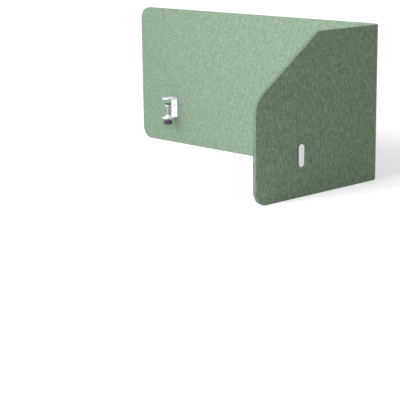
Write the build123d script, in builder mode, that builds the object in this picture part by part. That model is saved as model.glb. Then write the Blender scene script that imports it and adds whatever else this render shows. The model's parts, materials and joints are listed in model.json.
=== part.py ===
# Folding desk partition: two fabric-covered panels joined by a soft upholstered fold,
# held to a desk top by three screw clamps.
# Millimetres. +X runs along the back panel to the fold, +Y points to the rear, +Z is up.
# The origin is the middle of the bounding box, level with the bottom edges.

import os
from math import atan2, degrees, hypot, pi, sqrt, tan

from build123d import *

os.makedirs("parts", exist_ok=True)

# Screen, overall
screen_width = 1200.0
screen_depth = 592.0
screen_height = 516.0
side_level_top = 314.0
side_front_height = 323.0
free_corner_radius = 45.0
slope_bend_radius = 46.0
slope_front_radius = 72.0

# Panel build-up, from face to face
cover_thickness = 1.0
pad_thickness = 2.5
core_thickness = 7.0
panel_thickness = core_thickness + 2 * (pad_thickness + cover_thickness)

# Soft fold
fold_radius = 40.0
half_fold_angle = 45.0
sleeve_gap = 0.3

# Desk that the screen hangs on, and where the clamps sit
desk_level = 174.0
desk_thickness = 18.0
back_clamp_inset = 190.0
side_clamp_setback = 393.5

# Two-way hinges
hinge_count = 3
hinge_height = 60.0
hinge_end_margin = 45.0
leaf_thickness = 1.5
leaf_length = 34.0
pocket_clearance = 0.3
knuckle_radius = 2.8
knuckle_wall_gap = 0.5
hinge_pin_radius = 1.3
hinge_pin_clearance = 0.1
pin_head_radius = 2.3
pin_head_height = 0.8
knuckle_end_gap = 0.3
knuckle_side_gap = 0.5
link_thickness = 2.6
leaf_screw_radius = 1.5
leaf_screw_head_radius = 2.8
leaf_screw_length = 4.2
leaf_screw_clearance = 0.1
leaf_screws = 3
countersink_angle = 90.0

# Clamp bracket
bracket_width = 30.0
bracket_thickness = 4.0
tongue_reach = 55.0
arm_reach = 56.0
bracket_bend_radius = 5.0
bracket_tip_radius = 7.0
tongue_pad_thickness = 1.0
tongue_pad_side_margin = 3.0
tongue_pad_tip_margin = 4.0

# Clamp cover plate, gasket and bolts
plate_width = 24.0
plate_height = 73.0
plate_drop = 39.0
plate_thickness = 1.8
plate_edge_round = 1.1
gasket_thickness = 3.4
gasket_inset = 0.6
post_radius = 5.0
post_spacing = 26.0
post_clearance = 0.3
bolt_radius = 3.0
bolt_clearance = 0.2
bolt_head_radius = 5.0
bolt_head_height = 2.8
bolt_grip = 10.0
bolt_socket_radius = 1.9
bolt_socket_depth = 1.6
bolt_head_round = 1.0

# Clamp screw
spindle_reach = 38.0
spindle_radius = 4.0
spindle_pitch = 1.25
thread_clearance = 0.15
nut_radius = 8.0
nut_height = 8.0
arm_hole_clearance = 0.6
foot_radius = 14.0
foot_thickness = 3.0
foot_round = 0.8
foot_collar_radius = 7.0
foot_collar_height = 6.0
foot_pad_radius = 13.0
foot_pad_thickness = 2.0
tip_radius = 3.0
tip_clearance = 0.3
tip_entry = 0.8
knob_radius = 14.0
knob_lobe_radius = 4.5
knob_lobe_count = 6
knob_lobe_share = 0.86
knob_height = 14.0
knob_edge_round = 1.5
knob_bore_depth = 11.0
open_travel = 30.0
close_travel = 8.0
travel_clearance = 2.0

# Cutting tools run past what they cut by this much
overrun = 2.0

# Places that follow from the sizes
plate_proud = gasket_thickness + plate_thickness
corner_x = (screen_width - plate_proud) / 2
corner_y = (screen_depth - plate_proud) / 2
fold_inner_radius = fold_radius - panel_thickness
fold_mid_radius = fold_radius - panel_thickness / 2
pivot_depth = panel_thickness / 2
# Each pivot lies in its panel's middle plane, with its knuckle just inside the sleeve's wall.
pivot_distance = fold_radius - cover_thickness - knuckle_wall_gap - knuckle_radius
pivot_setback = fold_radius - sqrt(pivot_distance**2 - fold_mid_radius**2)

back_face = Plane(
    origin=(corner_x, corner_y - panel_thickness, 0), x_dir=(1, 0, 0), z_dir=(0, -1, 0)
)
side_face = Plane(
    origin=(corner_x - panel_thickness, corner_y, 0), x_dir=(0, -1, 0), z_dir=(-1, 0, 0)
)
fold_mirror = Plane(origin=(corner_x, corner_y, 0), x_dir=(0, 0, 1), z_dir=(1, -1, 0))
fold_centre = (corner_x - fold_radius, corner_y - fold_radius)
back_pivot = (corner_x - pivot_setback, corner_y - pivot_depth)
side_pivot = (corner_x - pivot_depth, corner_y - pivot_setback)

# A seat is a clamp's own frame: its origin lies on the panel's inner face, level with the desk
# top, x runs along the panel, y points out through the panel and z is up.
seats = {
    "left": Plane(
        origin=(corner_x - screen_width + back_clamp_inset, corner_y - panel_thickness, desk_level),
        x_dir=(1, 0, 0),
        z_dir=(0, 0, 1),
    ),
    "right": Plane(
        origin=(corner_x - back_clamp_inset, corner_y - panel_thickness, desk_level),
        x_dir=(1, 0, 0),
        z_dir=(0, 0, 1),
    ),
    "side": Plane(
        origin=(corner_x - panel_thickness, corner_y - side_clamp_setback, desk_level),
        x_dir=(0, -1, 0),
        z_dir=(0, 0, 1),
    ),
}
post_heights = [desk_level - plate_drop + side * post_spacing / 2 for side in (-1, 1)]
back_posts = [
    (-distance, height)
    for distance in (screen_width - back_clamp_inset, back_clamp_inset)
    for height in post_heights
]
side_posts = [(side_clamp_setback, height) for height in post_heights]

hinge_step = (screen_height - 2 * hinge_end_margin - hinge_height) / (hinge_count - 1)
hinge_bottoms = [hinge_end_margin + hinge_step * level for level in range(hinge_count)]
hinge_names = ["lower", "middle", "upper"]


def save(piece, name):
    """Label a finished piece and write it to its own file."""
    piece.label = name
    export_step(piece, f"parts/{name}.step")


# Outlines of the two panels

slope_angle = atan2(screen_height - side_front_height, screen_depth - side_level_top)


def back_outline(inset):
    """Back panel, drawn from the fold line round the free end, moved in by inset."""
    top = screen_height - inset
    end = inset - screen_width
    points = [(-fold_radius, top), (end, top), (end, inset), (-fold_radius, inset)]
    with BuildSketch() as outline:
        with BuildLine():
            FilletPolyline(*points, radius=free_corner_radius - inset)
            Line(points[-1], points[0])
        make_face()
    return outline.sketch


def side_outline(inset):
    """Side panel with its sloping top, drawn from the fold line, moved in by inset."""
    top = screen_height - inset
    front = screen_depth - inset
    slope_start = side_level_top - inset * tan(slope_angle / 2)
    slope_end = side_front_height - inset * tan((pi / 2 - slope_angle) / 2)
    points = [
        (fold_radius, top),
        (slope_start, top),
        (front, slope_end),
        (front, inset),
        (fold_radius, inset),
    ]
    radii = [slope_bend_radius, slope_front_radius, free_corner_radius]
    bends = [radius - inset for radius in radii]
    with BuildSketch() as outline:
        with BuildLine():
            FilletPolyline(*points, radius=bends)
            Line(points[-1], points[0])
        make_face()
    return outline.sketch


# Panel layers: covers, pads, core board and edge band


def panel_layer(face, outline, posts, start, thickness, inset):
    """One layer, its near side at depth start behind the panel's inner face."""
    with BuildPart() as layer:
        with BuildSketch(face.offset(-start - thickness)):
            add(outline(inset))
            with Locations(*posts):
                Circle(post_radius + post_clearance, mode=Mode.SUBTRACT)
        extrude(amount=thickness)
    return layer.part


def edge_band(face, outline):
    """Strip of cover cloth that closes the rim between the two covers."""
    with BuildPart() as band:
        with BuildSketch(face.offset(cover_thickness - panel_thickness)):
            add(outline(0))
        extrude(amount=panel_thickness - 2 * cover_thickness)
        with BuildSketch(face.offset(cover_thickness - panel_thickness)):
            add(outline(cover_thickness))
        extrude(amount=panel_thickness - 2 * cover_thickness, mode=Mode.SUBTRACT)
    return band.part


near_pad_start = cover_thickness
core_start = near_pad_start + pad_thickness
far_pad_start = core_start + core_thickness
far_cover_start = far_pad_start + pad_thickness

panels = {
    "back": (back_face, back_outline, back_posts, "front", "rear"),
    "side": (side_face, side_outline, side_posts, "inner", "outer"),
}
for panel, (face, outline, posts, near_name, far_name) in panels.items():
    layers = {
        f"{panel}_{near_name}_cover": (0, cover_thickness, 0),
        f"{panel}_{near_name}_pad": (near_pad_start, pad_thickness, cover_thickness),
        f"{panel}_{far_name}_pad": (far_pad_start, pad_thickness, cover_thickness),
        f"{panel}_{far_name}_cover": (far_cover_start, cover_thickness, 0),
    }
    for name, (start, thickness, inset) in layers.items():
        save(panel_layer(face, outline, posts, start, thickness, inset), name)
    save(edge_band(face, outline), f"{panel}_edge_band")

# Hinge leaves. The back leaf is drawn, and the side leaf is its mirror image in the fold.

leaf_far = back_pivot[1] + knuckle_radius
leaf_near = leaf_far - leaf_thickness
leaf_end = corner_x - fold_radius - leaf_length
leaf_screw_x = corner_x - fold_radius - leaf_length / 2
screw_step = hinge_height / leaf_screws
core_far = corner_y - cover_thickness - pad_thickness
third = hinge_height / 3


def screw_heights(bottom):
    """Heights of a leaf's screws, evenly spaced up the leaf."""
    return [bottom + screw_step * (index + 1 / 2) for index in range(leaf_screws)]


def back_leaf(bottom):
    """Leaf with an outer pair of knuckles, and countersunk holes from the rear."""
    with BuildPart() as leaf:
        with BuildSketch(Plane.XY.offset(bottom)):
            with BuildLine():
                Polyline(
                    (leaf_end, leaf_near),
                    (back_pivot[0], leaf_near),
                    (back_pivot[0], leaf_far),
                    (leaf_end, leaf_far),
                    close=True,
                )
            make_face()
            with Locations(back_pivot):
                Circle(knuckle_radius)
        extrude(amount=hinge_height)
        with BuildSketch(Plane.XY.offset(bottom + third - knuckle_end_gap)):
            with Locations(back_pivot):
                Circle(knuckle_radius + knuckle_side_gap)
        extrude(amount=third + 2 * knuckle_end_gap, mode=Mode.SUBTRACT)
        with BuildSketch(Plane.XY.offset(bottom)):
            with Locations(back_pivot):
                Circle(hinge_pin_radius + hinge_pin_clearance)
        extrude(amount=hinge_height, mode=Mode.SUBTRACT)
        for height in screw_heights(bottom):
            with Locations(Plane(origin=(leaf_screw_x, leaf_far, height), z_dir=(0, 1, 0))):
                CounterSinkHole(
                    radius=leaf_screw_radius + leaf_screw_clearance,
                    counter_sink_radius=leaf_screw_head_radius + leaf_screw_clearance,
                    depth=leaf_thickness + overrun,
                    counter_sink_angle=countersink_angle,
                )
    return leaf.part


def hinge_link(bottom):
    """Link whose two knuckles sit between those of the leaves, one on each pin."""
    with BuildPart() as link:
        with BuildSketch(Plane.XY.offset(bottom + third)):
            with BuildLine():
                spine = Line(back_pivot, side_pivot)
            trace(spine, line_width=link_thickness)
            with Locations(back_pivot, side_pivot):
                Circle(knuckle_radius)
            with Locations(back_pivot, side_pivot):
                Circle(hinge_pin_radius + hinge_pin_clearance, mode=Mode.SUBTRACT)
        extrude(amount=third)
    return link.part


def hinge_pins(pivot):
    """The pins of one hinge line, each with a head above and a peened end below."""
    with BuildPart() as pins:
        for bottom in hinge_bottoms:
            with BuildSketch(Plane.XY.offset(bottom)):
                with Locations(pivot):
                    Circle(hinge_pin_radius)
            extrude(amount=hinge_height)
            for level in (bottom - pin_head_height, bottom + hinge_height):
                with BuildSketch(Plane.XY.offset(level)):
                    with Locations(pivot):
                        Circle(pin_head_radius)
                extrude(amount=pin_head_height)
    return pins.part


def leaf_screws_at_back():
    """Countersunk screws of the back leaves, flush with the leaf."""
    with BuildPart() as screws:
        for bottom in hinge_bottoms:
            for height in screw_heights(bottom):
                head = Plane(origin=(leaf_screw_x, leaf_far, height), z_dir=(0, 1, 0))
                with BuildSketch(head):
                    Circle(leaf_screw_head_radius)
                sink = leaf_screw_head_radius - leaf_screw_radius
                extrude(amount=-sink, taper=countersink_angle / 2)
                with BuildSketch(head):
                    Circle(leaf_screw_radius)
                extrude(amount=-leaf_screw_length - leaf_thickness)
    return screws.part


def in_fold(piece):
    """Mirror image of a piece in the plane that halves the fold."""
    with BuildPart() as mirrored:
        mirror(piece, about=fold_mirror)
    return mirrored.part


for name, bottom in zip(hinge_names, hinge_bottoms):
    leaf = back_leaf(bottom)
    save(leaf, f"{name}_hinge_back_leaf")
    save(in_fold(leaf), f"{name}_hinge_side_leaf")
    save(hinge_link(bottom), f"{name}_hinge_link")
save(hinge_pins(back_pivot), "back_hinge_pins")
save(hinge_pins(side_pivot), "side_hinge_pins")
back_screws = leaf_screws_at_back()
save(back_screws, "back_hinge_screws")
save(in_fold(back_screws), "side_hinge_screws")

# Core boards, with pockets and pilot holes for the leaves

pocket_depth = core_far - leaf_near
pocket_height = hinge_height + 2 * pocket_clearance
pocket_length = leaf_length + pocket_clearance


def core_board(face, outline, posts, towards_free_end):
    """Core board; towards_free_end is +1 or -1, the way from the fold in the face's own x."""
    pocket_middle = towards_free_end * (fold_radius + pocket_length / 2)
    screw_line = towards_free_end * (fold_radius + leaf_length / 2)
    rear = face.offset(-far_pad_start)
    with BuildPart() as core:
        add(panel_layer(face, outline, posts, core_start, core_thickness, cover_thickness))
        with BuildSketch(rear):
            for bottom in hinge_bottoms:
                with Locations((pocket_middle, bottom + hinge_height / 2)):
                    Rectangle(pocket_length, pocket_height)
        extrude(amount=pocket_depth, mode=Mode.SUBTRACT)
        with BuildSketch(rear.offset(pocket_depth)):
            for bottom in hinge_bottoms:
                for height in screw_heights(bottom):
                    with Locations((screw_line, height)):
                        Circle(leaf_screw_radius + leaf_screw_clearance)
        extrude(amount=leaf_screw_length + leaf_screw_clearance, mode=Mode.SUBTRACT)
    return core.part


save(core_board(back_face, back_outline, back_posts, -1), "back_core")
save(core_board(side_face, side_outline, side_posts, 1), "side_core")

# Soft sleeve round the fold, in two halves that meet on its middle line

sleeve_gap_angle = degrees(sleeve_gap / fold_inner_radius)
cut_past = degrees(overrun / fold_inner_radius)


def fold_sector(inner, outer, start, sweep):
    """Ring sector about the fold's centre, as a sketch face."""
    with BuildSketch() as sector:
        with BuildLine():
            near = CenterArc(fold_centre, inner, start, sweep)
            far = CenterArc(fold_centre, outer, start, sweep)
            Line(near @ 0, far @ 0)
            Line(near @ 1, far @ 1)
        make_face()
    return sector.sketch


def back_half_sleeve():
    """Hollow half sleeve from the back panel to the middle of the fold, closed top and bottom."""
    sweep = half_fold_angle - sleeve_gap_angle
    cavity_inner = fold_inner_radius + cover_thickness
    cavity_outer = fold_radius - cover_thickness
    with BuildPart() as sleeve:
        with BuildSketch():
            add(fold_sector(fold_inner_radius, fold_radius, half_fold_angle, sweep))
        extrude(amount=screen_height)
        with BuildSketch(Plane.XY.offset(cover_thickness)):
            cut_start = half_fold_angle - cut_past
            add(fold_sector(cavity_inner, cavity_outer, cut_start, sweep + 2 * cut_past))
        extrude(amount=screen_height - 2 * cover_thickness, mode=Mode.SUBTRACT)
    return sleeve.part


sleeve_half = back_half_sleeve()
save(sleeve_half, "back_fold_sleeve")
save(in_fold(sleeve_half), "side_fold_sleeve")

# Clamp sizes that follow from the desk and the bracket

# Heights are measured from the desk top.
tongue_bottom = tongue_pad_thickness
foot_pad_bottom = -desk_thickness - foot_pad_thickness
foot_bottom = foot_pad_bottom - foot_thickness
collar_bottom = foot_bottom - foot_collar_height
tip_top = foot_bottom + tip_entry
shoulder = collar_bottom - tip_clearance
arm_top = collar_bottom - open_travel - travel_clearance - nut_height
arm_bottom = arm_top - bracket_thickness
knob_top = arm_bottom - close_travel - travel_clearance
knob_bottom = knob_top - knob_height
spindle_axis = (0, -spindle_reach)
plate_posts = [(0, side * post_spacing / 2 - plate_drop) for side in (-1, 1)]
tongue_pad_length = tongue_reach - bracket_bend_radius - 2 * tongue_pad_tip_margin
tongue_pad_width = bracket_width - 2 * tongue_pad_side_margin


def upright(seat, depth=0):
    """Upright plane at a depth behind the panel's inner face, facing out, with y up."""
    return Plane(origin=seat.origin + seat.y_dir * depth, x_dir=-seat.x_dir, z_dir=seat.y_dir)


def clamp_bracket(seat):
    """Bent steel strip: tongue on the desk, web on the panel, arm under the desk."""
    inward = -seat.y_dir
    section = Plane(origin=seat.origin, x_dir=inward, z_dir=-seat.x_dir)
    tongue_top = tongue_bottom + bracket_thickness
    inside_bend = bracket_bend_radius - bracket_thickness
    with BuildPart() as bracket:
        with BuildSketch(section):
            with BuildLine():
                outer = [
                    (tongue_reach, tongue_top),
                    (0, tongue_top),
                    (0, arm_bottom),
                    (arm_reach, arm_bottom),
                ]
                inner = [
                    (arm_reach, arm_top),
                    (bracket_thickness, arm_top),
                    (bracket_thickness, tongue_bottom),
                    (tongue_reach, tongue_bottom),
                ]
                FilletPolyline(*outer, radius=bracket_bend_radius)
                Line(outer[-1], inner[0])
                FilletPolyline(*inner, radius=inside_bend)
                Line(inner[-1], outer[0])
            make_face()
        extrude(amount=bracket_width / 2, both=True)
        tips = bracket.edges().filter_by(Axis.Z).group_by(SortBy.LENGTH)[0]
        fillet(tips, radius=bracket_tip_radius)
        with BuildSketch(seat.offset(arm_bottom)):
            with Locations(spindle_axis):
                Circle(spindle_radius + arm_hole_clearance)
        extrude(amount=bracket_thickness, mode=Mode.SUBTRACT)
        with BuildSketch(upright(seat)):
            with Locations(*plate_posts):
                Circle(bolt_radius + bolt_clearance)
        extrude(amount=-bracket_thickness, mode=Mode.SUBTRACT)
    return bracket.part


def tongue_pad(seat):
    """Rubber pad glued under the tongue."""
    middle = tongue_reach - tongue_pad_tip_margin - tongue_pad_length / 2
    with BuildPart() as pad:
        with BuildSketch(seat):
            with Locations((0, -middle)):
                RectangleRounded(
                    tongue_pad_width, tongue_pad_length, bracket_tip_radius - tongue_pad_tip_margin
                )
        extrude(amount=tongue_pad_thickness)
    return pad.part


def weld_nut(seat):
    """Six-sided nut welded on the arm."""
    with BuildPart() as nut:
        with BuildSketch(seat.offset(arm_top)):
            with Locations(spindle_axis):
                RegularPolygon(nut_radius, 6)
                Circle(spindle_radius + thread_clearance, mode=Mode.SUBTRACT)
        extrude(amount=nut_height)
    return nut.part


def cover_plate(seat):
    """Oblong plate on the outer face, with two posts that reach through the panel."""
    outside = upright(seat, panel_thickness + gasket_thickness)
    with BuildPart() as plate:
        with BuildSketch(outside):
            with Locations((0, -plate_drop)):
                SlotOverall(plate_height, plate_width, rotation=90)
        extrude(amount=plate_thickness)
        outer_rim = plate.faces().sort_by(Axis(outside.origin, outside.z_dir))[-1]
        fillet(outer_rim.edges(), radius=plate_edge_round)
        with BuildSketch(outside):
            with Locations(*plate_posts):
                Circle(post_radius)
        extrude(amount=-panel_thickness - gasket_thickness)
        with BuildSketch(upright(seat)):
            with Locations(*plate_posts):
                Circle(bolt_radius + bolt_clearance)
        extrude(amount=bolt_grip + bolt_clearance, mode=Mode.SUBTRACT)
    return plate.part


def gasket(seat):
    """Dark gasket between the panel and the cover plate."""
    with BuildPart() as ring:
        with BuildSketch(upright(seat, panel_thickness)):
            with Locations((0, -plate_drop)):
                SlotOverall(
                    plate_height - 2 * gasket_inset, plate_width - 2 * gasket_inset, rotation=90
                )
            with Locations(*plate_posts):
                Circle(post_radius + post_clearance, mode=Mode.SUBTRACT)
        extrude(amount=gasket_thickness)
    return ring.part


def clamp_bolts(seat):
    """Two button-head bolts through the web into the posts."""
    with BuildPart() as bolts:
        head = upright(seat, -bracket_thickness)
        with BuildSketch(head):
            with Locations(*plate_posts):
                Circle(bolt_head_radius)
        extrude(amount=-bolt_head_height)
        crowns = bolts.faces().filter_by(Axis(head.origin, head.z_dir))
        crowns = crowns.group_by(Axis(head.origin, head.z_dir))[0]
        fillet(crowns.edges(), radius=bolt_head_round)
        with BuildSketch(head):
            with Locations(*plate_posts):
                Circle(bolt_radius)
        extrude(amount=bracket_thickness + bolt_grip)
        with BuildSketch(head.offset(-bolt_head_height)):
            with Locations(*plate_posts):
                RegularPolygon(bolt_socket_radius, 6)
        extrude(amount=bolt_socket_depth, mode=Mode.SUBTRACT)
    return bolts.part


def spindle(seat):
    """Clamp screw with a slim tip that turns in the foot's collar."""
    with BuildPart() as screw:
        with BuildSketch(seat.offset(knob_top - knob_bore_depth)):
            with Locations(spindle_axis):
                Circle(spindle_radius)
        extrude(amount=shoulder - knob_top + knob_bore_depth)
        with BuildSketch(seat.offset(shoulder)):
            with Locations(spindle_axis):
                Circle(tip_radius)
        extrude(amount=tip_top - tip_clearance - shoulder)
    return screw.part


def knob(seat):
    """Lobed hand knob on the lower end of the screw."""
    with BuildPart() as grip:
        with BuildSketch(seat.offset(knob_bottom)):
            with Locations(spindle_axis):
                Circle(knob_radius)
                with PolarLocations(knob_radius * knob_lobe_share, knob_lobe_count):
                    Circle(knob_lobe_radius)
        extrude(amount=knob_height)
        ends = grip.faces().filter_by(Axis.Z)
        fillet(ends.edges(), radius=knob_edge_round)
        with BuildSketch(seat.offset(knob_top)):
            with Locations(spindle_axis):
                Circle(spindle_radius)
        extrude(amount=-knob_bore_depth, mode=Mode.SUBTRACT)
    return grip.part


def foot(seat):
    """Pressure foot: a round plate with a collar that takes the screw's tip."""
    with BuildPart() as pad_plate:
        with BuildSketch(seat.offset(foot_bottom)):
            with Locations(spindle_axis):
                Circle(foot_radius)
        extrude(amount=foot_thickness)
        fillet(pad_plate.edges().group_by(Axis.Z)[0], radius=foot_round)
        with BuildSketch(seat.offset(collar_bottom)):
            with Locations(spindle_axis):
                Circle(foot_collar_radius)
        extrude(amount=foot_collar_height)
        with BuildSketch(seat.offset(collar_bottom)):
            with Locations(spindle_axis):
                Circle(tip_radius + tip_clearance)
        extrude(amount=tip_top - collar_bottom, mode=Mode.SUBTRACT)
    return pad_plate.part


def foot_pad(seat):
    """Rubber disc on the foot, which presses on the desk's underside."""
    with BuildPart() as disc:
        with BuildSketch(seat.offset(foot_pad_bottom)):
            with Locations(spindle_axis):
                Circle(foot_pad_radius)
        extrude(amount=foot_pad_thickness)
    return disc.part


clamp_pieces = {
    "bracket": clamp_bracket,
    "tongue_pad": tongue_pad,
    "weld_nut": weld_nut,
    "cover_plate": cover_plate,
    "gasket": gasket,
    "bolts": clamp_bolts,
    "spindle": spindle,
    "knob": knob,
    "foot": foot,
    "foot_pad": foot_pad,
}
for place, seat in seats.items():
    for piece, make in clamp_pieces.items():
        save(make(seat), f"{place}_clamp_{piece}")

# Joint places, for the record
pivot_spacing = hypot(side_pivot[0] - back_pivot[0], side_pivot[1] - back_pivot[1])
print("back pivot", [round(value, 3) for value in back_pivot])
print("side pivot", [round(value, 3) for value in side_pivot])
print("pivot spacing", round(pivot_spacing, 3), "screw turn per mm", round(2 * pi / spindle_pitch, 4))
for place, seat in seats.items():
    print(place, "seat", [round(value, 3) for value in seat.origin])
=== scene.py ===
# %% [markdown]
# # A folding office partition, dressed for its picture
#
# The construction is finished before this lesson starts: panels, hinges and clamps come in at
# their real size and place. What is left is what the eye sees first. The two panels get their
# woven covers with rounded edges and sewn rims, the clamps get threads, and every surface gets
# a finish. Each step says what the real thing is like, how it could be made in Blender, and
# why one way was chosen.

import json
from math import atan2, cos, degrees, hypot, pi, radians, tan

import bmesh
import bpy
from mathutils import Matrix, Vector


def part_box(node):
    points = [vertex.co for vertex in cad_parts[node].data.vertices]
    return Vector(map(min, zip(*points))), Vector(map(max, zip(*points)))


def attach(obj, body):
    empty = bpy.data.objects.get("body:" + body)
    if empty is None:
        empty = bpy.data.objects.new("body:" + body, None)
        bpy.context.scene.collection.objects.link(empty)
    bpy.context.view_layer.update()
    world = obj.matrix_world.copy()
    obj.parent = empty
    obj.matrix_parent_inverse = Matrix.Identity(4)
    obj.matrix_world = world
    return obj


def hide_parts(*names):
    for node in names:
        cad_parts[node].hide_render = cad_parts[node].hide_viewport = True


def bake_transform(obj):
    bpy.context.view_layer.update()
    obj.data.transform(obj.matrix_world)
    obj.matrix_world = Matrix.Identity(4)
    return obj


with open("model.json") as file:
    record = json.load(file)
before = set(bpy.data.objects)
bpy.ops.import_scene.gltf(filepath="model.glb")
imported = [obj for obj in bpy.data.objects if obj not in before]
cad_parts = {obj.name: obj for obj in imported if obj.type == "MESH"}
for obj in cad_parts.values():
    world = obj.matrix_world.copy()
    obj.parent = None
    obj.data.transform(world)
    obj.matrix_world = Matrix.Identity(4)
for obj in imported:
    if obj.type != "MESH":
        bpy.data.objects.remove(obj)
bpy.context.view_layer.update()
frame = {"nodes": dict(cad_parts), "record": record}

# %% [markdown]
# ## The camera comes first
#
# A picture is judged in its own view, so the camera is set before anything is modelled. Its
# place and its long lens were worked out from the slopes of the screen's straight edges in the
# photograph. A camera looks down its own -Z, so its turn is built from three plain turns:
# heading, tilt and a small roll.

# %% Place the camera
camera_place = Vector((3.2712, -3.0106, 0.8952))
camera_heading = radians(47.156)
camera_tilt = radians(90 - 12.864)
camera_roll = radians(-0.705)
picture_width = 400
focal_pixels = 1283.2
farthest_view = 100

bpy.ops.object.camera_add(location=camera_place)
camera = bpy.context.object
camera.data.lens = focal_pixels * camera.data.sensor_width / picture_width
camera.data.clip_end = farthest_view
turn = Matrix.Rotation(camera_heading, 4, "Z") @ Matrix.Rotation(camera_tilt, 4, "X")
camera.rotation_euler = (turn @ Matrix.Rotation(camera_roll, 4, "Z")).to_euler()
bpy.context.scene.camera = camera
print("lens", round(camera.data.lens, 1), "mm")

# %% [markdown]
# ## A pale world
#
# The photograph has even white surroundings, and the outer faces of the screen are in soft
# shade. A room of white walls could be built round it, but a world of one pale colour fills the
# shade in the same way from every side and costs nothing.

# %% Fill the shade
world_strength = 0.45

world = bpy.data.worlds.new("studio")
world.use_nodes = True
background = world.node_tree.nodes["Background"]
background.inputs["Color"].default_value = (1, 1, 1, 1)
background.inputs["Strength"].default_value = world_strength
bpy.context.scene.world = world
bpy.context.scene.view_settings.view_transform = "Standard"
print("a world of strength", world_strength)

# %% [markdown]
# ## One broad light from the front left
#
# The inner faces of the screen are bright. A sun lamp with a wide angle is the simplest soft
# light that stays the same all over. But the back panel darkens towards its far end, as it does
# under a light that is near, so a softbox over the inside of the corner takes a share of the
# work. Both lamps look down their own -Z, so each is turned to have its Z towards where the
# light comes from.

# %% Hang the key light and the softbox
lamp_tint = (1.01, 0.96, 1.13)
key_strength = 3.7
key_softness = radians(60)
key_from = Vector((-0.42, -0.86, 0.38))
key_distance = 4
softbox_power = 17
softbox_size = 0.8
softbox_place = Vector((0.35, -0.9, 1.0))
softbox_aim = Vector((0.2, 0.28, 0.35))


def hang_lamp(name, kind, place, energy, light_from):
    """A lamp at a place, whose light comes from a direction."""
    bpy.ops.object.light_add(type=kind, location=place)
    lamp = bpy.context.object
    lamp.name = name
    lamp.data.energy = energy
    lamp.data.color = lamp_tint
    lamp.rotation_euler = light_from.to_track_quat("Z", "Y").to_euler()
    print(name, "at", energy)
    return lamp


key = hang_lamp("key_light", "SUN", key_from * key_distance, key_strength, key_from)
key.data.angle = key_softness
softbox_from = softbox_place - softbox_aim
softbox = hang_lamp("softbox", "AREA", softbox_place, softbox_power, softbox_from)
softbox.data.size = softbox_size
softbox.visible_camera = False

# %% [markdown]
# ## A pale floor
#
# The floor is a stage, so it isn't part of the object. A curved backdrop would hide its far
# edge, but it would stand in the way of the views from behind. So it is flat, and wide enough to
# fill every view that looks down on the screen.

# %% Lay the floor
floor_size = 60

bpy.ops.mesh.primitive_plane_add(size=floor_size)
floor = bpy.context.object
floor.name = "floor"
print("a floor of", floor_size, "m")

# %% [markdown]
# ## Hands for modelling
#
# Modelling by hand is always the same round: take one object, go into edit mode, pick some
# faces or edges, run a tool. The picking is done here by a test on each part's place or
# direction, where a hand would click.

# %% Take an object and pick its parts
def let_go():
    """Leave edit mode and select nothing."""
    if bpy.context.object and bpy.context.object.mode != "OBJECT":
        bpy.ops.object.mode_set(mode="OBJECT")
    bpy.ops.object.select_all(action="DESELECT")


def take(obj):
    """Leave edit mode and make obj the only selected object."""
    let_go()
    obj.select_set(True)
    bpy.context.view_layer.objects.active = obj


def pick(obj, kind, test):
    """Enter edit mode with only the vertices, edges or faces that pass the test selected."""
    take(obj)
    bpy.ops.object.mode_set(mode="EDIT")
    bpy.ops.mesh.select_mode(type=kind)
    bpy.ops.mesh.select_all(action="DESELECT")
    mesh = bmesh.from_edit_mesh(obj.data)
    parts = {"VERT": mesh.verts, "EDGE": mesh.edges, "FACE": mesh.faces}[kind]
    found = [part for part in parts if test(part)]
    for part in found:
        part.select_set(True)
    bmesh.update_edit_mesh(obj.data)
    return len(found)


def pick_all(obj):
    """Enter edit mode with everything selected."""
    return pick(obj, "FACE", lambda face: True)


print("a hand finds", pick_all(floor), "face on the floor")
let_go()

# %% [markdown]
# A block is the usual start, since both panels and pads are flat. A modifier is applied as soon
# as it is set, so that the next step works on its result. And a closed skin has two faces at
# every edge, which is easy to count.

# %% Add a block, apply a modifier, count the loose ends
def slab(name, low, high):
    """A block between two corners, with its place in its mesh."""
    let_go()
    size = [abs(b - a) for a, b in zip(low, high)]
    middle = [(a + b) / 2 for a, b in zip(low, high)]
    bpy.ops.mesh.primitive_cube_add(size=1, location=middle, scale=size)
    block = bpy.context.object
    block.name = block.data.name = name
    bpy.ops.object.transform_apply(location=True, rotation=True, scale=True)
    return block


def finish_modifier(obj, kind, settings):
    """Add a modifier with its settings and apply it."""
    take(obj)
    modifier = obj.modifiers.new(kind.lower(), kind)
    for name, value in settings.items():
        setattr(modifier, name, value)
    bpy.ops.object.modifier_apply(modifier=modifier.name)


def loose_ends(obj):
    """How many edges of a piece have other than two faces."""
    mesh = bmesh.new()
    mesh.from_mesh(obj.data)
    count = sum(1 for edge in mesh.edges if len(edge.link_faces) != 2)
    mesh.free()
    return count


print("an open sheet such as the floor has", loose_ends(floor), "loose ends")

# %% [markdown]
# ## The screen's sizes, read from the frame
#
# Every size that the construction already has is read from it, so a new cover can't miss its
# panel. Only the outline's corners are given here: a round free end on both panels, and the
# side panel's slope, with a round bend at each of its ends.

# %% Read the sizes
back_low, back_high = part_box("back_rear_cover")
side_low, side_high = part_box("side_outer_cover")
fold_centre = Vector((back_high.x, side_high.y, 0))
fold_radius = side_high.x - back_high.x
panel_thickness = back_high.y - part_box("back_front_cover")[0].y
inner_radius = fold_radius - panel_thickness
screen_height = back_high.z
free_end_radius = 0.045
slope_start = 0.314
slope_end = 0.323
slope_start_radius = 0.046
slope_end_radius = 0.072
print("height", round(screen_height, 4), "fold", round(inner_radius, 4), round(fold_radius, 4))

# %% [markdown]
# Each panel is a flat run that ends in half of the soft fold. Both are described the same way:
# `along` points to the fold, `out` points to the outside of the corner, and the fold turns
# about its centre. One description serves both panels.

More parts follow.
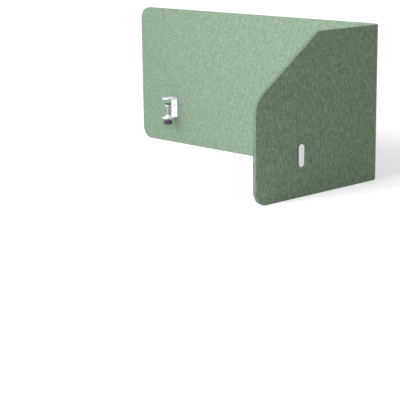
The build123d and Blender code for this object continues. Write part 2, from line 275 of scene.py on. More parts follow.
# %% Describe a panel
class Panel:
    """One panel's directions, and the place of a point in them."""

    def __init__(self, name, along, out, length):
        self.name = name
        self.along = Vector(along)
        self.out = Vector(out)
        self.length = length
        self.turn = 1 if self.along.cross(self.out).z > 0 else -1

    def run(self, point):
        """Distance past the fold line, towards the corner; less than zero on the flat."""
        return (Vector(point) - fold_centre).dot(self.along)

    def depth(self, point):
        """Distance from the fold's axis, through the panel: least on the inner face."""
        offset = Vector(point) - fold_centre
        run, across = offset.dot(self.along), offset.dot(self.out)
        return hypot(run, across) if run > 0 else across

    def place(self, run, depth, height):
        """The point at a run, a depth and a height on the flat."""
        return fold_centre + self.along * run + self.out * depth + Vector((0, 0, height))


back = Panel("back", (1, 0, 0), (0, 1, 0), back_high.x - back_low.x)
side = Panel("side", (0, 1, 0), (1, 0, 0), side_high.y - side_low.y)
print("flat runs", round(back.length, 4), round(side.length, 4))

# %% [markdown]
# ## Covers: one taut woven skin for each panel
#
# The real cover is a bag of woven cloth pulled over a felt-faced board. It could be simulated,
# but a taut cover on a stiff board hardly moves, so a simulation would only cost time. It is
# modelled instead: a block, its free corners beveled, its end spun through half of the fold,
# its rim rounded, and a seam sunk along each side of the edge band.
#
# A corner of the outline is one edge that runs straight through the panel. A bevel rounds it,
# and its profile is set so that the curve is a true arc for whatever angle the outline turns
# by.

# %% Round a corner of the outline
corner_steps = 14
straight_enough = 0.999
close_by = 0.001


def arc_profile(turn):
    """The bevel profile that gives a true arc where the outline turns by an angle."""
    return (1 - 0.5 / (1 + cos(turn / 2))) ** 2


def crosswise(panel, edge):
    """True if an edge runs straight through the panel."""
    a, b = edge.verts
    return abs((b.co - a.co).normalized().dot(panel.out)) > straight_enough


def near(panel, edge, run, height):
    """True if an edge passes through a run and a height."""
    middle = (edge.verts[0].co + edge.verts[1].co) / 2
    return abs(panel.run(middle) - run) < close_by and abs(middle.z - height) < close_by


def round_corner(obj, panel, run, height, radius, turn):
    """Round one corner of the outline, where it turns by an angle."""
    pick(obj, "EDGE", lambda edge: crosswise(panel, edge) and near(panel, edge, run, height))
    bpy.ops.mesh.bevel(
        offset=radius * tan(turn / 2),
        segments=corner_steps,
        profile=arc_profile(turn),
        affect="EDGES",
    )


print("profile of a square corner", round(arc_profile(pi / 2), 3))

# %% [markdown]
# The side panel's slope is cut with Bisect, which keeps the block closed with a new face. The
# same outline serves the cover and the pads under it. A pad's is a little smaller, so the cut
# and the corners move in by the same amount.

# %% Block out a panel
slope_level = fold_radius - slope_start
slope_rise = screen_height - slope_end
slope_run = slope_level + side.length
slope_turn = atan2(slope_rise, slope_run)
slope_out = side.along * -slope_rise + Vector((0, 0, slope_run))


def block_out(name, panel, grow, inner, outer, fold_end=0):
    """A flat block with the panel's outline, grown or shrunk by an amount on its rim."""
    front = -panel.length - grow
    top = screen_height + grow
    low = panel.place(front, inner, -grow)
    high = panel.place(fold_end, outer, top)
    block = slab(name, low, high)
    corners = [(front, -grow, free_end_radius, pi / 2)]
    if panel is side:
        on_slope = panel.place(slope_level, outer, screen_height) + slope_out.normalized() * grow
        pick_all(block)
        bpy.ops.mesh.bisect(
            plane_co=on_slope, plane_no=slope_out, use_fill=True, clear_outer=True
        )
        steep_turn = pi / 2 - slope_turn
        start = slope_level - grow * tan(slope_turn / 2)
        drop = slope_end + grow * tan(steep_turn / 2)
        corners.append((start, top, slope_start_radius, slope_turn))
        corners.append((front, drop, slope_end_radius, steep_turn))
    else:
        corners.append((front, top, free_end_radius, pi / 2))
    for run, height, radius, turn in corners:
        round_corner(block, panel, run, height, radius + grow, turn)
    let_go()
    return block


print("the slope falls at", round(degrees(slope_turn), 1), "degrees")

# %% [markdown]
# The fold is made with Spin, which turns the block's end face about the fold's axis and leaves
# a wall behind it. Each cover takes half of the quarter turn. Spin can turn faces inside out,
# so the skin is merged and its normals are made to point outwards.

# %% Spin a block through its half of the fold
fold_steps = 20
fold_half_turn = pi / 4
same_place = 1e-5
merge_distance = 1e-6


def weld(obj, distance):
    """Merge points that lie on each other."""
    pick_all(obj)
    bpy.ops.mesh.remove_doubles(threshold=distance)


def add_fold(block, panel):
    """Spin the block's end through half of the fold."""
    pick(block, "FACE", lambda face: abs(panel.run(face.calc_center_median())) < same_place)
    bpy.ops.mesh.spin(
        steps=fold_steps,
        angle=panel.turn * fold_half_turn,
        center=fold_centre,
        axis=(0, 0, 1),
    )
    weld(block, merge_distance)
    bpy.ops.mesh.normals_make_consistent(inside=False)


print("each half of the fold has", fold_steps, "steps")

# %% [markdown]
# The rim is where the eye finds out whether a panel is upholstered. The broad faces roll over
# their edge on a small radius, and the band between them is held by two seams. The seams are
# real grooves: an inset marks them, a bevel gives them width, and shrinking the middle line
# sinks it. An upright seam is sunk the same way where each panel ends and the soft fold starts.
#
# The tools need the right faces and edges, and each of these tests finds one kind, by its place
# or by the way it faces.

# %% Find the middle of the fold, the rim and the sharp edges
mostly = 0.5
sharp_turn = radians(60)


def at_middle(panel, point):
    """Nearness to the plane that halves the fold; zero on it."""
    offset = Vector(point) - fold_centre
    return abs(offset.dot(panel.along) - offset.dot(panel.out))


def is_rim(panel, face):
    """True on the narrow faces round the panel's edge."""
    if panel.run(face.calc_center_median()) < 0:
        return abs(face.normal.dot(panel.out)) < mostly
    return abs(face.normal.z) > mostly


def is_sharp(edge):
    """True where two faces meet at a sharp turn."""
    return edge.calc_face_angle(0) > sharp_turn


print("sharp is more than", round(degrees(sharp_turn)), "degrees")

# %% [markdown]
# A seam has no faces of its own yet, so it is found by its depth in the panel. The band's two
# seams lie a little way in from the broad faces. The upright joins are on the broad faces,
# where the panel's run is zero.

# %% Find the seams and the joins
rim_inset = 0.0032
seam_reach = 1e-4
rim_seams = (inner_radius + rim_inset, fold_radius - rim_inset)


def on_rim_seam(panel, point):
    """True on one of the two seams of the edge band."""
    return min(abs(panel.depth(point) - seam) for seam in rim_seams) < seam_reach


def along_rim_seam(panel, edge):
    """True if an edge follows one of those seams and doesn't cross the band."""
    a, b = (vert.co for vert in edge.verts)
    level = abs(panel.depth(a) - panel.depth(b)) < seam_reach
    return level and on_rim_seam(panel, a) and on_rim_seam(panel, b)


def on_broad_face(panel, point):
    """True on the inner and the outer face, off the rounded rim."""
    depth = panel.depth(point)
    return min(abs(depth - inner_radius), abs(depth - fold_radius)) < same_place


def on_join(panel, point):
    """True on the upright line where the flat panel ends and the soft fold starts."""
    return on_broad_face(panel, point) and abs(panel.run(point)) < same_place


print("the band's seams lie at depths", [round(seam, 4) for seam in rim_seams])

# %% [markdown]
# A broad face is one large face until it is cut into a grid, and then it has points for the
# cloth to move. Bisect cuts it, a plane at a time.

# %% Cut the grid and sink a seam
grid_step = 0.030
seam_half_width = 0.0005
seam_depth = 0.0007
millimetres = 1000


def cut_grid(obj, panel):
    """Cut the broad faces into a grid, so that the cloth has points to move."""
    for index in range(1, int(panel.length / grid_step) + 1):
        pick_all(obj)
        place = panel.place(-index * grid_step, 0, 0)
        bpy.ops.mesh.bisect(plane_co=place, plane_no=panel.along)
    for index in range(1, int(screen_height / grid_step) + 1):
        pick_all(obj)
        bpy.ops.mesh.bisect(plane_co=(0, 0, index * grid_step), plane_no=(0, 0, 1))


def sink_seam(obj, edge_test, point_test):
    """Turn a marked line into a groove: two rows wide, with its middle line sunk."""
    pick(obj, "EDGE", edge_test)
    bpy.ops.mesh.bevel(offset=seam_half_width, segments=2, affect="EDGES")
    pick(obj, "VERT", lambda vert: point_test(vert.co))
    bpy.ops.transform.shrink_fatten(value=-seam_depth)


print("a seam is sunk by", seam_depth * millimetres, "mm")

# %% [markdown]
# With these helpers the cover itself is a short list of steps. The end of the fold is left
# open, because there the two covers meet.

# %% Sew both covers
rim_radius = 0.0018
rim_steps = 4
grid_merge_distance = 2e-5


def sew_cover(name, panel):
    """The whole cover of one panel."""
    cover = block_out(name, panel, 0, inner_radius, fold_radius)
    add_fold(cover, panel)
    pick(cover, "FACE", lambda face: at_middle(panel, face.calc_center_median()) < same_place)
    bpy.ops.mesh.delete(type="FACE")
    pick(cover, "FACE", lambda face: is_rim(panel, face))
    bpy.ops.mesh.inset(thickness=rim_inset, use_boundary=False, use_even_offset=True)
    pick(cover, "EDGE", is_sharp)
    bpy.ops.mesh.bevel(offset=rim_radius, segments=rim_steps, affect="EDGES")
    sink_seam(
        cover,
        lambda edge: along_rim_seam(panel, edge),
        lambda point: on_rim_seam(panel, point),
    )
    cut_grid(cover, panel)
    weld(cover, grid_merge_distance)
    sink_seam(
        cover,
        lambda edge: all(on_join(panel, vert.co) for vert in edge.verts),
        lambda point: on_join(panel, point),
    )
    let_go()
    return cover


covers = {}
for panel in (back, side):
    covers[panel.name] = sew_cover(f"{panel.name}_cover", panel)
    print(panel.name, "cover", len(covers[panel.name].data.polygons), "faces")

# %% [markdown]
# Cloth is never as flat as sheet metal. Its points could be moved by hand, but a Displace
# modifier with a soft cloud does it evenly. The ripple is half a millimetre, and a vertex group
# keeps it to the broad faces and off the line where the two covers meet.

# %% Ripple the broad faces
ripple_size = 0.16
ripple_height = 0.0005
ripple_margin = 0.002

ripple = bpy.data.textures.new("ripple", "CLOUDS")
ripple.noise_scale = ripple_size
for panel in (back, side):
    cover = covers[panel.name]
    broad = [
        vert.index
        for vert in cover.data.vertices
        if on_broad_face(panel, vert.co) and at_middle(panel, vert.co) > ripple_margin
    ]
    cover.vertex_groups.new(name="broad").add(broad, 1.0, "REPLACE")
    settings = {
        "texture": ripple,
        "texture_coords": "LOCAL",
        "vertex_group": "broad",
        "strength": ripple_height,
        "mid_level": 0.5,
    }
    finish_modifier(cover, "DISPLACE", settings)
    print(cover.name, len(broad), "points rippled")

# %% [markdown]
# The weave has to follow the cloth round the fold, and a pattern on flat coordinates can't. So
# each point of the cover remembers where it lay on the roll: its distance along the cloth, its
# height and its depth in the panel. On the narrow band the weave is read with the depth added
# to both, which turns it to the bias there, as on a real binding.
#
# The cloth itself is a millimetre thick. Solidify gives it an inner side, and the smooth
# shading goes on last, with edges sharper than forty degrees kept crisp.

# %% Give the cloth its own coordinates and its thickness
cloth_thickness = 0.001
crisp_turn = radians(40)


def lay_on_roll(obj, panel):
    """Store each point's place on the unrolled cloth, in metres."""
    layer = obj.data.attributes.new("cloth", "FLOAT_VECTOR", "POINT")
    for vert, entry in zip(obj.data.vertices, layer.data):
        run, depth = panel.run(vert.co), panel.depth(vert.co)
        across = (vert.co - fold_centre).dot(panel.out)
        arc = depth * atan2(run, across) if run > 0 else run
        along = arc if panel is back else depth * pi / 2 - arc
        entry.vector = (along, vert.co.z, depth)


def shade(obj, crisp_from):
    """Smooth shading, with the edges that turn by more than an angle kept crisp."""
    take(obj)
    bpy.ops.object.shade_smooth_by_angle(angle=crisp_from)


for panel in (back, side):
    cover = covers[panel.name]
    lay_on_roll(cover, panel)
    finish_modifier(cover, "SOLIDIFY", {"thickness": cloth_thickness, "offset": -1})
    shade(cover, crisp_turn)
    print(cover.name, loose_ends(cover), "loose ends")

# %% [markdown]
# ## Felt pads under the cloth
#
# A sheet of pressed felt lies on each face of the core board, which is why the real panel feels
# soft under the hand. Nothing of it shows, but the construction has it, so it is modelled as
# well: the same outline, a little smaller, with a rounded rim and holes for the clamp posts.
# A hole could be cut through the mesh by hand, but a Boolean with a round drill is quick and
# leaves the pad closed.

# %% Drill the holes for the clamp posts
post_hole_radius = 0.0056
drill_length = 0.1
round_steps = 24


def post_places(clamp):
    """The two posts of a clamp, above each other, from the places of its bolts."""
    low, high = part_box(f"{clamp}_clamp_bolts")
    middle = (low + high) / 2
    head = min(high.x - low.x, high.y - low.y) / 2
    return [Vector((middle.x, middle.y, z)) for z in (low.z + head, high.z - head)]


def drill_hole(pad, panel, place):
    """A round hole through a pad."""
    let_go()
    bpy.ops.mesh.primitive_cylinder_add(
        vertices=round_steps, radius=post_hole_radius, depth=drill_length, location=place
    )
    drill = bpy.context.object
    drill.rotation_euler = panel.out.to_track_quat("Z", "Y").to_euler()
    finish_modifier(pad, "BOOLEAN", {"operation": "DIFFERENCE", "object": drill})
    bpy.data.objects.remove(drill)


for clamp in ("left", "right", "side"):
    print(clamp, "posts at heights", [round(place.z, 4) for place in post_places(clamp)])

# %% [markdown]
# Each pad fills the space of its node, but for 0.3 mm on the side where the cloth lies on it, so
# that the two skins stay apart.

# %% Lay the felt pads
pad_rim = 0.0006
pad_ease = 0.0003


def lay_pad(node, panel, clamps):
    """One pad in the space of its node, eased where the cloth lies on it."""
    low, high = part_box(node)
    inner, outer = sorted((panel.depth(low), panel.depth(high)))
    if inner < inner_radius + panel_thickness / 2:
        inner += pad_ease
    else:
        outer -= pad_ease
    grow = high.z - screen_height
    fold_end = max(panel.run(low), panel.run(high))
    pad = block_out(node.replace("_pad", "_felt"), panel, grow, inner, outer, fold_end)
    for clamp in clamps:
        for place in post_places(clamp):
            drill_hole(pad, panel, place)
    pick(pad, "EDGE", lambda edge: is_sharp(edge) and not crosswise(panel, edge))
    bpy.ops.mesh.bevel(offset=pad_rim, segments=2, affect="EDGES")
    weld(pad, merge_distance)
    bpy.ops.mesh.normals_make_consistent(inside=False)
    shade(pad, crisp_turn)
    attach(pad, f"{panel.name}_panel")
    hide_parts(node)
    return pad


print("a pad is eased by", pad_ease * millimetres, "mm")

# %% [markdown]
# The back panel carries two clamps and the side panel one, so a back pad has four post holes
# and a side pad has two.

# %% Lay all four pads
pads = [
    lay_pad("back_front_pad", back, ["left", "right"]),
    lay_pad("back_rear_pad", back, ["left", "right"]),
    lay_pad("side_inner_pad", side, ["side"]),
    lay_pad("side_outer_pad", side, ["side"]),
]
for pad in pads:
    print(pad.name, len(pad.data.polygons), "faces,", loose_ends(pad), "loose ends")

# %% [markdown]
# ## Clamp screws with a real thread
#
# The construction's screws are smooth, which is right for a model that has to move, but a
# clamp screw is all thread. It could be a spiral cut into a rod with a Boolean, which is slow
# and seldom clean. Here one turn of its profile is drawn as an open line, and the Screw modifier
# carries it up the rod, a pitch for each turn. Bisect trims both ends and caps them.

# %% Turn a threaded rod
thread_pitch = 0.00125
thread_depth = 0.00075
thread_steps = 16
crest_share = 0.2
spare_turns = 2


def turn_rod(length, radius):
    """A threaded rod on the world's axis, its upper end at zero."""
    let_go()
    middle = radius - thread_depth / 2
    foot = -length - spare_turns * thread_pitch
    bpy.ops.mesh.primitive_plane_add(
        size=1, location=(middle, 0, foot), rotation=(pi / 2, 0, 0)
    )
    rod = bpy.context.object
    rod.scale = (thread_depth, thread_pitch, 1)
    bpy.ops.object.transform_apply(location=True, rotation=True, scale=True)
    pick(rod, "EDGE", lambda edge: all(vert.co.x < middle for vert in edge.verts))
    bpy.ops.mesh.delete(type="EDGE_FACE")
    pick(rod, "VERT", lambda vert: vert.co.x > middle)
    bpy.ops.transform.resize(value=(1, 1, crest_share), center_override=(radius, 0, foot))
    settings = {
        "axis": "Z",
        "angle": 2 * pi,
        "screw_offset": thread_pitch,
        "iterations": int(length / thread_pitch) + 2 * spare_turns,
        "steps": thread_steps,
        "render_steps": thread_steps,
        "use_merge_vertices": True,
        "merge_threshold": same_place,
    }
    finish_modifier(rod, "SCREW", settings)
    weld(rod, same_place)
    for height, direction in ((0, 1), (-length, -1)):
        pick_all(rod)
        bpy.ops.mesh.bisect(
            plane_co=(0, 0, height), plane_no=(0, 0, direction), use_fill=True, clear_outer=True
        )
    pick_all(rod)
    bpy.ops.mesh.normals_make_consistent(inside=False)
    return rod


tip_length = 0.0068
low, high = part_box("side_clamp_spindle")
rod = turn_rod(high.z - low.z - tip_length, (high.x - low.x) / 2)
let_go()
print("a thread of", len(rod.data.polygons), "faces,", loose_ends(rod), "loose ends")

# %% [markdown]
# Above the thread is a slim smooth tip, on which the pressure foot swivels. It starts a little
# way down inside the rod, so that no gap can open between them. The finished screw is copied to
# its three places, and each copy gets its own mesh, which holds its place.

# %% Add the tip and set the three screws
tip_radius = 0.003
tip_overlap = 0.002
end_chamfer = 0.0004
thread_crisp_turn = radians(35)


def add_tip(rod):
    """Join a chamfered tip to the upper end of the rod."""
    let_go()
    bpy.ops.mesh.primitive_cylinder_add(
        vertices=round_steps,
        radius=tip_radius,
        depth=tip_length + tip_overlap,
        location=(0, 0, tip_length / 2 - tip_overlap / 2),
    )
    tip = bpy.context.object
    bpy.ops.object.transform_apply(location=True, rotation=True, scale=True)
    pick(tip, "EDGE", lambda edge: all(vert.co.z > 0 for vert in edge.verts))
    bpy.ops.mesh.bevel(offset=end_chamfer, segments=2, affect="EDGES")
    take(rod)
    tip.select_set(True)
    bpy.ops.object.join()
    shade(rod, thread_crisp_turn)


add_tip(rod)
screws = []
for clamp in ("left", "right", "side"):
    low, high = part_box(f"{clamp}_clamp_spindle")
    take(rod)
    bpy.ops.object.duplicate()
    screw = bpy.context.object
    screw.name = screw.data.name = f"{clamp}_clamp_threaded_screw"
    screw.location = ((low.x + high.x) / 2, (low.y + high.y) / 2, high.z - tip_length)
    bpy.ops.object.transform_apply(location=True)
    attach(screw, f"{clamp}_clamp_screw")
    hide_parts(f"{clamp}_clamp_spindle")
    screws.append(screw)
    print(screw.name, len(screw.data.polygons), "faces,", loose_ends(screw), "loose ends")
bpy.data.objects.remove(rod)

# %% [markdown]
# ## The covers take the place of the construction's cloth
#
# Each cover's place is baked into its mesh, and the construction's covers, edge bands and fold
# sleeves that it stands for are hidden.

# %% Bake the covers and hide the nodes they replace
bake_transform(covers["back"])
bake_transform(covers["side"])

replaced = {
    "back": ["back_front_cover", "back_rear_cover", "back_edge_band", "back_fold_sleeve"],
    "side": ["side_inner_cover", "side_outer_cover", "side_edge_band", "side_fold_sleeve"],
}
for name, cover in covers.items():
    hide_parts(*replaced[name])
    print(cover.name, "stands for", len(replaced[name]), "nodes")

# %% [markdown]
# ## Shader maths as plain sums
#
# A woven finish is mostly arithmetic on coordinates. The Math nodes could be placed one by one,
# as in the node editor. Wrapping a socket in a small class lets a sum be written as a sum
# instead, and Blender gets the Math nodes.

# %% A socket that can be added and multiplied
class Flow:
    """An output socket, in the finish that it belongs to."""

    def __init__(self, finish, socket):
        self.finish = finish
        self.socket = socket

    def math(self, operation, *others):
        """One Math node, with this socket as its first input."""
        inputs = dict(enumerate((self, *others)))
        return self.finish.node("ShaderNodeMath", {"operation": operation}, inputs)

    def __add__(self, other):
        return self.math("ADD", other)

    def __radd__(self, other):
        return self.math("ADD", other)

    def __sub__(self, other):
        return self.math("SUBTRACT", other)

    def __rsub__(self, other):
        return self.finish.node("ShaderNodeMath", {"operation": "SUBTRACT"}, {0: other, 1: self})

    def __mul__(self, other):
        return self.math("MULTIPLY", other)

    def __rmul__(self, other):
        return self.math("MULTIPLY", other)


print("a flow can be added, taken away and multiplied, from either side")

# %% [markdown]
# Every other node comes from one method. It takes the node's type, then its settings, and last
# the values or links of its sockets, in the order in which a hand would fill them in.

# %% One method for any other node
class Finish:
    """One material, built node by node."""

    def __init__(self, name):
        self.material = bpy.data.materials.new(name)
        self.material.use_nodes = True
        self.tree = self.material.node_tree
        self.tree.nodes.clear()

    def node(self, kind, settings=None, inputs=None, output=0):
        """Any node: its settings first, then the values or links of its sockets."""
        node = self.tree.nodes.new(kind)
        for name, value in (settings or {}).items():
            if name == "stops":
                for element, (place, colour) in zip(self.stops(node, len(value)), value):
                    element.position = place
                    element.color = colour
            else:
                setattr(node, name, value)
        for key, value in (inputs or {}).items():
            if isinstance(value, Flow):
                self.tree.links.new(value.socket, node.inputs[key])
            else:
                node.inputs[key].default_value = value
        return Flow(self, node.outputs[output])

    @staticmethod
    def stops(node, count):
        """A ramp's stops, as many as are needed."""
        elements = node.color_ramp.elements
        while len(elements) < count:
            elements.new(0.5)
        return list(elements)

    def close(self, inputs):
        """The Principled shader and the output."""
        shader = self.node("ShaderNodeBsdfPrincipled", {}, inputs)
        surface = self.tree.nodes.new("ShaderNodeOutputMaterial").inputs["Surface"]
        self.tree.links.new(shader.socket, surface)
        print(self.material.name, len(self.tree.nodes), "nodes")
        return self.material


trial = Finish("trial")
total = 1 - trial.node("ShaderNodeTexNoise") * 2
print("1 - noise * 2 makes", [node.name for node in total.finish.tree.nodes])
bpy.data.materials.remove(trial.material)

# %% [markdown]
# A few nodes come back in every finish, so they get short names. Object coordinates stay with
# the piece wherever it moves. Noise is counted in cells to the metre, which is easy to compare
# with the grain of the real thing.

# %% Short names for the nodes that come back
class Recipe(Finish):
    """A finish with short names for its usual nodes."""

    def place(self, name=None):
        """Object coordinates, or a piece's own attribute."""
        if name:
            settings = {"attribute_name": name}
            return self.node("ShaderNodeAttribute", settings, {}, "Vector")
        return self.node("ShaderNodeTexCoord", {}, {}, "Object")

    def parts(self, place):
        """The three numbers of a coordinate."""
        first = self.node("ShaderNodeSeparateXYZ", {}, {"Vector": place})
        return [Flow(self, socket) for socket in first.socket.node.outputs]

    def scaled(self, place, scale):
        """Coordinates multiplied by a factor on each axis; less than 1 stretches the pattern."""
        inputs = {"Vector": place, "Scale": scale}
        return self.node("ShaderNodeMapping", {"vector_type": "POINT"}, inputs)

    def noise(self, place, cells, detail=2.0, roughness=0.5):
        """Soft noise of a number of cells to the metre."""
        inputs = {"Vector": place, "Scale": cells, "Detail": detail, "Roughness": roughness}
        return self.node("ShaderNodeTexNoise", {}, inputs)

    def between(self, value, low, high):
        """A value spread from 0 to 1 between two levels."""
        inputs = {"Value": value, "From Min": low, "From Max": high}
        return self.node("ShaderNodeMapRange", {"interpolation_type": "SMOOTHSTEP"}, inputs)

    def mix(self, factor, first, second, blend="MIX"):
        """One colour turned into another, or multiplied by it, by a factor."""
        settings = {"data_type": "RGBA", "blend_type": blend, "clamp_factor": True}
        return self.node("ShaderNodeMix", settings, {0: factor, 6: first, 7: second}, 2)

    def bump(self, height, distance, strength):
        """A normal that follows a height."""
        inputs = {"Strength": strength, "Distance": distance, "Height": height}
        return self.node("ShaderNodeBump", {}, inputs)


finishes = {}
print("a recipe has", len([name for name in vars(Recipe) if name[0] != "_"]), "short names")

# %% [markdown]
# ## Woven sage cloth
#
# The real cloth is a melange: pale, mid and dark green fibres spun together, woven plain, with
# short thick slubs that run upright. An image of cloth would repeat and would need an unwrapped
# cover. Sums on the roll's own coordinates never repeat, and they keep their scale in metres.
# The weave comes first: two rows of waves that cross each other, one yarn apart.

# %% Weave the yarns
yarn_pitch = 0.0016

cloth = Recipe("sage_cloth")
roll = cloth.place("cloth")
along, upright, depth = cloth.parts(roll)
warp = ((along + depth) * (2 * pi / yarn_pitch)).math("SINE")
weft = ((upright + depth) * (2 * pi / yarn_pitch)).math("SINE")
weave = warp * weft * 0.5 + 0.5
print(round(1 / yarn_pitch), "yarns to the metre")

# %% [markdown]
# From a step away the melange reads as soft mottling. It is mixed from large to small: clouds,
# upright streaks, slubs, the picks that cross them, and single fibres. The mottling is painted
# calmer on the inner faces than on the outer ones: painted light, for the way the bright light on
# the inner faces washes the texture out.

# %% Mix the melange
cloud_share, streak_share, slub_share, pick_share, fibre_share = 0.23, 0.25, 0.21, 0.21, 0.10
weave_share = 0.06
tone_low, tone_high = 0.36, 0.64
inner_painted_light_contrast = 0.62
inner_seam, outer_seam = rim_seams

clouds = cloth.noise(cloth.scaled(roll, (1.0, 0.8, 1.0)), cells=110, detail=3.0, roughness=0.6)
streaks = cloth.noise(cloth.scaled(roll, (1.0, 0.13, 1.0)), cells=300)
slubs = cloth.noise(cloth.scaled(roll, (1.0, 0.15, 1.0)), cells=720, roughness=0.55)
picks = cloth.noise(cloth.scaled(roll, (0.16, 1.0, 1.0)), cells=480, roughness=0.55)
fibres = cloth.noise(roll, cells=1500, detail=1.0)

tone = clouds * cloud_share + streaks * streak_share + slubs * slub_share
tone = tone + picks * pick_share + fibres * fibre_share
tone = tone + (weave - 0.5) * weave_share
tone = cloth.between(tone, tone_low, tone_high)
# Painted light: the inner faces, which face the lamps, get a calmer tone than the outer faces in
# shade.
outer_face = cloth.between(depth, inner_seam, outer_seam)
contrast = inner_painted_light_contrast + (1 - inner_painted_light_contrast) * outer_face
tone = (tone - 0.5) * contrast + 0.5
print("tone from", len(cloth.tree.nodes), "nodes")

# %% [markdown]
# The tone picks a green from a ramp of three. The band round the rim is painted a shade darker
# and cooler than the broad faces: painted shade, for the light that grazes its fibres. Its two
# seams are painted as dark lines: painted shade, for the shadow in their grooves. Both are found
# by the depth in the panel. The slubs and the weave also feed the bump.

# %% Dye the cloth
dark_green = (0.075, 0.115, 0.065, 1)
mid_green = (0.131, 0.190, 0.118, 1)
pale_green = (0.205, 0.285, 0.187, 1)
band_painted_shade = (0.76, 0.81, 0.84, 1)
band_softness = 0.0002
seam_painted_shade = (0.45, 0.47, 0.45, 1)
seam_shade_width = 0.0011
yarn_height = 0.0005

stops = [(0.0, dark_green), (0.5, mid_green), (1.0, pale_green)]
green = cloth.node("ShaderNodeValToRGB", {"stops": stops}, {"Fac": tone})
past_inner, past_outer = (
    cloth.between(depth, seam - band_softness, seam + band_softness) for seam in rim_seams
)
# Painted shade: the band between the seams is darkened and cooled, for the grazing light on it.
green = cloth.mix(past_inner * (1 - past_outer), green, band_painted_shade, "MULTIPLY")
# Painted shade: a dark line along each seam of the band, for the shadow in its groove.
clear_inner, clear_outer = (
    cloth.between((depth - seam).math("ABSOLUTE"), seam_half_width, seam_shade_width)
    for seam in rim_seams
)
green = cloth.mix(1 - clear_inner * clear_outer, green, seam_painted_shade, "MULTIPLY")
finishes["cover_fabric"] = cloth.close(
    {
        "Base Color": green,
        "Roughness": 0.92,
        "Sheen Weight": 0.25,
        "Sheen Roughness": 0.4,
        "Sheen Tint": (0.75, 0.85, 0.76, 1),
        "Specular IOR Level": 0.25,
        "Normal": cloth.bump(weave * 0.5 + slubs * 0.5, yarn_height, 0.45),
    }
)

# %% [markdown]
# ## White powder coat
#
# Brackets and cover plates are steel, coated with a powder that melts to a satin skin. The real
# skin has a fine orange peel, so a small noise feeds the bump. A plain white would look like
# paper, and a slow cloud in the shade and in the roughness takes that away.

# %% Coat the steel white
coat = Recipe("white_powder_coat")
coat_place = coat.place()
orange_peel = coat.noise(coat_place, cells=900)
coat_cloud = coat.noise(coat_place, cells=30)
finishes["white_steel"] = coat.close(
    {
        "Base Color": coat.mix(coat_cloud, (0.70, 0.71, 0.70, 1), (0.75, 0.76, 0.75, 1)),
        "Roughness": coat.between(coat_cloud, 0.2, 0.8) * 0.08 + 0.36,
        "Normal": coat.bump(orange_peel, 0.0001, 0.35),
    }
)

# %% [markdown]
# ## Bright zinc plate
#
# Hinges, bolts, feet and screws are zinc-plated steel. Zinc is duller than chrome, with a faint
# cloudy colour and a grain from rolling and turning. The same noise, drawn out along Z, gives
# both the grain's bump and its uneven gloss.

# %% Plate the steel with zinc
zinc = Recipe("zinc_plate")
zinc_place = zinc.place()
rolled_grain = zinc.noise(zinc.scaled(zinc_place, (1.0, 1.0, 0.15)), cells=900, roughness=0.6)
zinc_cloud = zinc.noise(zinc_place, cells=120, detail=3.0, roughness=0.6)
finishes["hinge_steel"] = finishes["zinc_steel"] = zinc.close(
    {
        "Base Color": zinc.mix(zinc_cloud, (0.52, 0.54, 0.56, 1), (0.66, 0.66, 0.65, 1)),
        "Metallic": 1.0,
        "Roughness": zinc.between(rolled_grain, 0.3, 0.7) * 0.15 + 0.26,
        "Normal": zinc.bump(rolled_grain, 0.00005, 0.4),
    }
)

# %% [markdown]
# ## Matt black rubber
#
# The pads that grip and the gaskets under the plates are moulded from rubber, which is nearly
# black and has hardly any gloss. A flat black would look like a hole in the picture, so a fine
# grain breaks it up in colour, gloss and bump.

# %% Mould the rubber
rubber = Recipe("black_rubber")
rubber_grain = rubber.noise(rubber.place(), cells=1400, roughness=0.6)
finishes["rubber_pad"] = rubber.close(
    {
        "Base Color": rubber.mix(rubber_grain, (0.014, 0.014, 0.014, 1), (0.035, 0.035, 0.034, 1)),
        "Roughness": rubber.between(rubber_grain, 0.2, 0.8) * 0.15 + 0.7,
        "Normal": rubber.bump(rubber_grain, 0.0001, 0.5),
    }
)

# %% [markdown]
# ## Black moulded plastic
#
# The knobs come from a mould whose walls are spark-eroded, which leaves an even fine texture.
# It could be displaced in the mesh, but it is far smaller than any face, so it is a bump.

# %% Mould the plastic
plastic = Recipe("black_moulded_plastic")
plastic_place = plastic.place()
spark = plastic.noise(plastic_place, cells=1900, detail=1.0)
plastic_cloud = plastic.noise(plastic_place, cells=60)
finishes["knob_plastic"] = plastic.close(
    {
        "Base Color": plastic.mix(
            plastic_cloud, (0.016, 0.016, 0.017, 1), (0.028, 0.028, 0.029, 1)
        ),
        "Roughness": plastic.between(spark, 0.2, 0.8) * 0.14 + 0.42,
        "Normal": plastic.bump(spark, 0.00012, 0.5),
    }
)

# %% [markdown]
# ## Board and felt inside the panels
#
# The core is a board of pressed wood fibre and the pads are pressed felt. Neither shows in a
# finished screen. They are finished all the same, since a part can be shown opened up.

# %% Press the board and the felt
board = Recipe("fibre_board")
chips = board.noise(board.place(), cells=500, detail=4.0, roughness=0.65)
finishes["core_board"] = board.close(
    {
        "Base Color": board.mix(chips, (0.20, 0.125, 0.06, 1), (0.36, 0.25, 0.14, 1)),
        "Roughness": 0.85,
        "Normal": board.bump(chips, 0.0002, 0.4),
    }
)

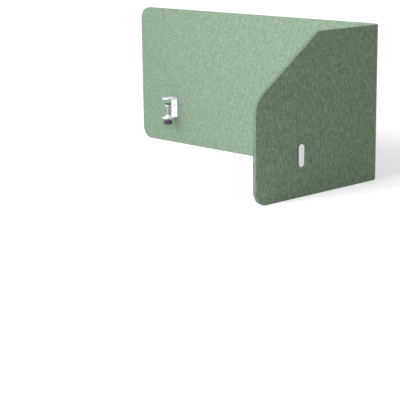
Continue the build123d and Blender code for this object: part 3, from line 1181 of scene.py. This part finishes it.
felt = Recipe("pressed_felt")
felt_place = felt.place()
hairs = felt.noise(felt_place, cells=1200, detail=4.0, roughness=0.7)
felt_cloud = felt.noise(felt_place, cells=70, detail=3.0, roughness=0.6)
felt_tone = hairs * 0.6 + felt_cloud * 0.4
finishes["felt_pad"] = felt.close(
    {
        "Base Color": felt.mix(felt_tone, (0.48, 0.48, 0.46, 1), (0.68, 0.68, 0.66, 1)),
        "Roughness": 0.95,
        "Normal": felt.bump(hairs, 0.0004, 0.6),
    }
)

# %% [markdown]
# ## The floor's finish
#
# The photograph is cut out on white, so the floor has to be white and its shadow pale. A white
# floor alone gets a grey shadow. So this one is a little less than white and glows a little,
# like a light box, which fills the shadow from below.

# %% Make the floor glow
floor_glow = 0.46

pale = Recipe("pale_floor")
floor_cloud = pale.noise(pale.place(), cells=1.5)
pale_floor = pale.close(
    {
        "Base Color": pale.mix(floor_cloud, (0.70, 0.70, 0.70, 1), (0.72, 0.72, 0.72, 1)),
        "Roughness": 0.8,
        "Specular IOR Level": 0.1,
        "Emission Color": (1, 1, 1, 1),
        "Emission Strength": floor_glow,
    }
)
floor.data.materials.append(pale_floor)

# %% [markdown]
# ## Hand out the finishes
#
# The new pieces take theirs on their meshes. The construction's own pieces keep their meshes as
# they are, so each finish is linked to the object instead, by the material slot that the record
# names for it.

# %% Give every piece its finish
for cover in covers.values():
    cover.data.materials.append(finishes["cover_fabric"])
for pad in pads:
    pad.data.materials.append(finishes["felt_pad"])
for screw in screws:
    screw.data.materials.append(finishes["zinc_steel"])

slot_of = {part["node"]: part["material_slot"] for part in frame["record"]["subparts"]}
for name, node in frame["nodes"].items():
    if not node.material_slots:
        node.data.materials.append(finishes[slot_of[name]])
    for entry in node.material_slots:
        entry.link = "OBJECT"
        entry.material = finishes[slot_of[name]]
print("finished", len(frame["nodes"]), "nodes")

# %% [markdown]
